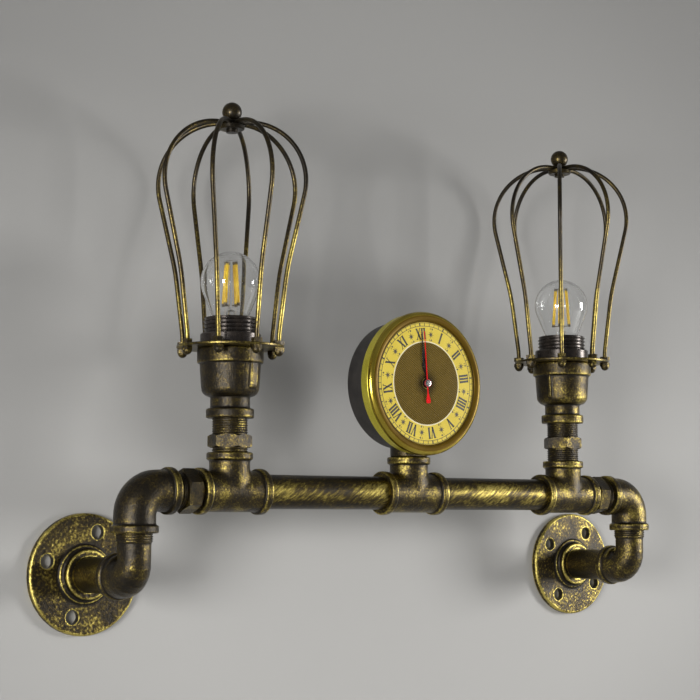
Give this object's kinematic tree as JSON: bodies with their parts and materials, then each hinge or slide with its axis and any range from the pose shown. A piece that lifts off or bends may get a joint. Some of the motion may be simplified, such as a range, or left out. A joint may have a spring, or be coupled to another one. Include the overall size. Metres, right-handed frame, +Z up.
{
  "type": "pipe wall light",
  "caption": "Wall light built from threaded pipe fittings, with a lamp in a balloon wire cage near each end and a round clock on the bar between them.",
  "frame": {"origin": "on the wall plane, midway between the two flanges at the height of their axes", "axes": "+X along the bar to the viewer's right, +Y into the wall, +Z up"},
  "size_m": [0.614, 0.1416, 0.4218],
  "materials": {
    "cast_bronze": "antique bronze paint, rubbed bright on the edges",
    "bronze_pipe": "antique bronze paint, rubbed along the length",
    "bronze_wire": "antique bronze paint",
    "holder_black": "satin",
    "screw_shell": "nickel plated",
    "contact_brass": "plain",
    "bulb_glass": "clear",
    "filament": "amber coated",
    "clock_drum": "dark bronze, satin",
    "clock_brass": "polished",
    "lens_glass": "clear",
    "dial_card": "printed gold",
    "movement_plastic": "moulded",
    "battery_can": "plain",
    "hand_black": "gloss black",
    "hand_red": "gloss red",
    "lead_sheath": "matt"
  },
  "bodies": {
    "wall_frame": {"flange_left": "cast_bronze", "flange_right": "cast_bronze", "stub_pipe_left": "bronze_pipe", "stub_pipe_right": "bronze_pipe", "street_elbow_left": "cast_bronze", "street_elbow_right": "cast_bronze", "elbow_left": "cast_bronze", "elbow_right": "cast_bronze", "bar_nipple_left": "cast_bronze", "bar_nipple_right": "cast_bronze", "tee_left": "cast_bronze", "tee_middle": "cast_bronze", "tee_right": "cast_bronze", "bar_pipe_left": "bronze_pipe", "bar_pipe_right": "bronze_pipe", "riser_nipple_left": "cast_bronze", "riser_nipple_right": "cast_bronze", "lamp_cup_left": "cast_bronze", "lamp_cup_right": "cast_bronze", "holder_left": "holder_black", "holder_right": "holder_black", "holder_shell_left": "screw_shell", "holder_shell_right": "screw_shell", "holder_contact_left": "contact_brass", "holder_contact_right": "contact_brass", "ring_nut_left": "holder_black", "ring_nut_right": "holder_black", "cage_plate_left": "bronze_wire", "cage_plate_right": "bronze_wire", "cage_wires_left": "bronze_wire", "cage_wires_right": "bronze_wire", "cage_nuts_left": "bronze_wire", "cage_nuts_right": "bronze_wire", "cage_crown_left": "bronze_wire", "cage_crown_right": "bronze_wire", "cage_finial_left": "bronze_wire", "cage_finial_right": "bronze_wire", "clock_case": "clock_drum", "clock_stem": "clock_drum", "clock_bezel": "clock_brass", "clock_lens": "lens_glass", "clock_dial": "dial_card", "clock_movement": "movement_plastic", "clock_battery": "battery_can", "lead_left": "lead_sheath", "lead_right": "lead_sheath"},
    "bulb_left": {"bulb_glass_left": "bulb_glass", "bulb_cap_left": "screw_shell", "bulb_stem_left": "bulb_glass", "bulb_filaments_left": "filament"},
    "bulb_right": {"bulb_glass_right": "bulb_glass", "bulb_cap_right": "screw_shell", "bulb_stem_right": "bulb_glass", "bulb_filaments_right": "filament"},
    "minute_hand": {"minute_hand": "hand_black"},
    "hour_hand": {"hour_hand": "hand_black"},
    "second_hand": {"second_hand": "hand_red"},
    "setting_knob": {"setting_knob": "movement_plastic"}
  },
  "joints": [
    {"name": "bulb_left_out", "type": "slide", "parent": "wall_frame", "child": "bulb_left", "axis": [0, 0, 1], "range_m": [0, 0.03]},
    {"name": "bulb_right_out", "type": "slide", "parent": "wall_frame", "child": "bulb_right", "axis": [0, 0, 1], "range_m": [0, 0.03]},
    {"name": "minute_hand_turn", "type": "hinge", "parent": "wall_frame", "child": "minute_hand", "pos_m": [0, -0.1038, 0.1535], "axis": [0, 1, 0], "continuous": true},
    {"name": "hour_hand_turn", "type": "hinge", "parent": "wall_frame", "child": "hour_hand", "pos_m": [0, -0.1038, 0.1535], "axis": [0, 1, 0], "continuous": true},
    {"name": "second_hand_turn", "type": "hinge", "parent": "wall_frame", "child": "second_hand", "pos_m": [0, -0.1038, 0.1535], "axis": [0, 1, 0], "continuous": true},
    {"name": "setting_knob_turn", "type": "hinge", "parent": "wall_frame", "child": "setting_knob", "pos_m": [0, -0.1038, 0.1535], "axis": [0, 1, 0], "continuous": true}
  ],
  "couplings": [
    {"joint": "hour_hand_turn", "follows": "minute_hand_turn", "ratio": 0.083333},
    {"joint": "setting_knob_turn", "follows": "minute_hand_turn", "ratio": 1}
  ]
}
